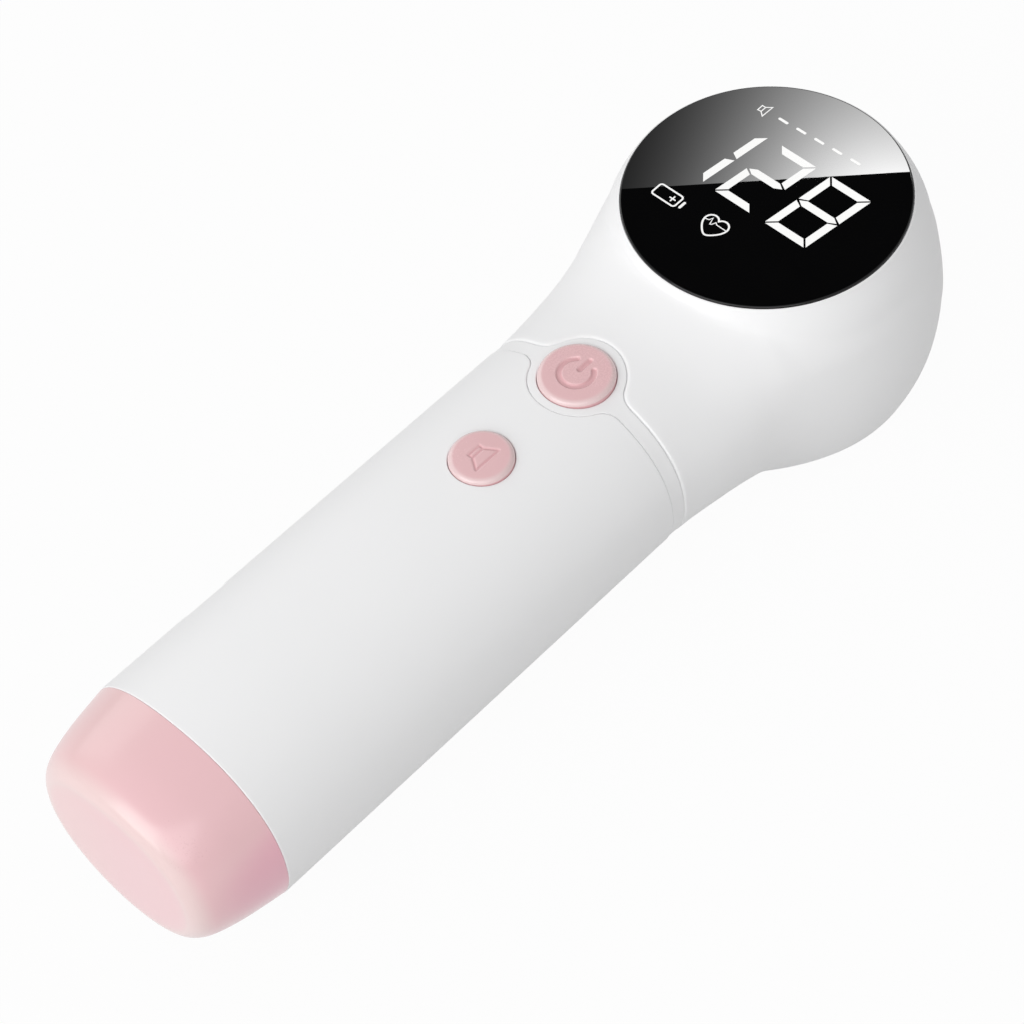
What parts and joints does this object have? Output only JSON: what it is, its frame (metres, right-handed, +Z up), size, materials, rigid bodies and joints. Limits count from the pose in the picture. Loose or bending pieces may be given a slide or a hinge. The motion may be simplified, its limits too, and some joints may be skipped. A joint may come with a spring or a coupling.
{
  "type": "fetal heart monitor",
  "caption": "Hand-held fetal heart monitor: round head with a display above and an ultrasound probe face below, oval handle, press buttons and a pink tail cap.",
  "frame": {"origin": "centre of the flat probe face under the head, directly below the centre of the round display", "axes": "+X from the handle towards the head, +Y to the left of the person who holds the handle, +Z up, square to the display"},
  "size_m": [0.1789, 0.0586, 0.0415],
  "materials": {
    "white_plastic": "satin moulded white",
    "pink_plastic": "satin moulded pale pink",
    "black_glass": "polished, opaque black behind",
    "face_resin": "smooth pale resin",
    "dark_rubber": "matte",
    "black_plastic": "matte moulded black",
    "circuit_board": "green solder mask",
    "pale_plastic": "plain natural nylon",
    "ceramic": "sintered ceramic",
    "bright_steel": "plated",
    "cell_wrap": "shrink film",
    "amber_film": "polyimide film"
  },
  "bodies": {
    "monitor": {"head_shell": "white_plastic", "display_window": "black_glass", "display_gasket": "dark_rubber", "display_module": "black_plastic", "display_board": "circuit_board", "display_screw_1": "bright_steel", "display_screw_2": "bright_steel", "display_screw_3": "bright_steel", "display_ribbon": "amber_film", "probe_housing": "white_plastic", "probe_seal": "dark_rubber", "acoustic_face": "face_resin", "transmit_crystal": "ceramic", "receive_crystal": "ceramic", "crystal_backing": "dark_rubber", "probe_shield": "bright_steel", "probe_board": "circuit_board", "probe_lead": "black_plastic", "lead_connector": "pale_plastic", "collar_ring": "white_plastic", "power_switch_body": "black_plastic", "handle_sleeve": "white_plastic", "volume_switch_body": "black_plastic", "battery_chassis": "black_plastic", "main_board": "circuit_board", "board_screw_1": "bright_steel", "board_screw_2": "bright_steel", "board_screw_3": "bright_steel", "board_screw_4": "bright_steel", "processor_chip": "black_plastic", "amplifier_chip": "black_plastic", "charger_chip": "black_plastic", "ribbon_connector": "pale_plastic", "charge_socket": "bright_steel", "battery_cell": "cell_wrap", "battery_contact_tail": "bright_steel", "battery_contact_front": "bright_steel", "battery_pad": "dark_rubber", "speaker_gasket": "dark_rubber", "speaker_frame": "bright_steel", "speaker_cone": "black_plastic", "speaker_magnet": "bright_steel", "end_cap": "pink_plastic", "end_cap_seal": "dark_rubber"},
    "power_button": {"power_button": "pink_plastic"},
    "power_plunger": {"power_switch_plunger": "pale_plastic"},
    "volume_button": {"volume_button": "pink_plastic"},
    "volume_plunger": {"volume_switch_plunger": "pale_plastic"}
  },
  "joints": [
    {"name": "power_press", "type": "slide", "parent": "monitor", "child": "power_button", "axis": [0, 0, -1], "range_m": [0, 0.0006], "stiffness_N_per_m": 2500},
    {"name": "power_plunger_press", "type": "slide", "parent": "monitor", "child": "power_plunger", "axis": [0, 0, -1], "range_m": [0, 0.0006], "stiffness_N_per_m": 0.01, "springref_m": -0.0166},
    {"name": "volume_press", "type": "slide", "parent": "monitor", "child": "volume_button", "axis": [0, 0, -1], "range_m": [0, 0.0006], "stiffness_N_per_m": 2500},
    {"name": "volume_plunger_press", "type": "slide", "parent": "monitor", "child": "volume_plunger", "axis": [0, 0, -1], "range_m": [0, 0.0006], "stiffness_N_per_m": 0.01, "springref_m": -0.0166}
  ],
  "couplings": [
    {"joint": "power_plunger_press", "follows": "power_press", "ratio": 1},
    {"joint": "volume_plunger_press", "follows": "volume_press", "ratio": 1}
  ]
}
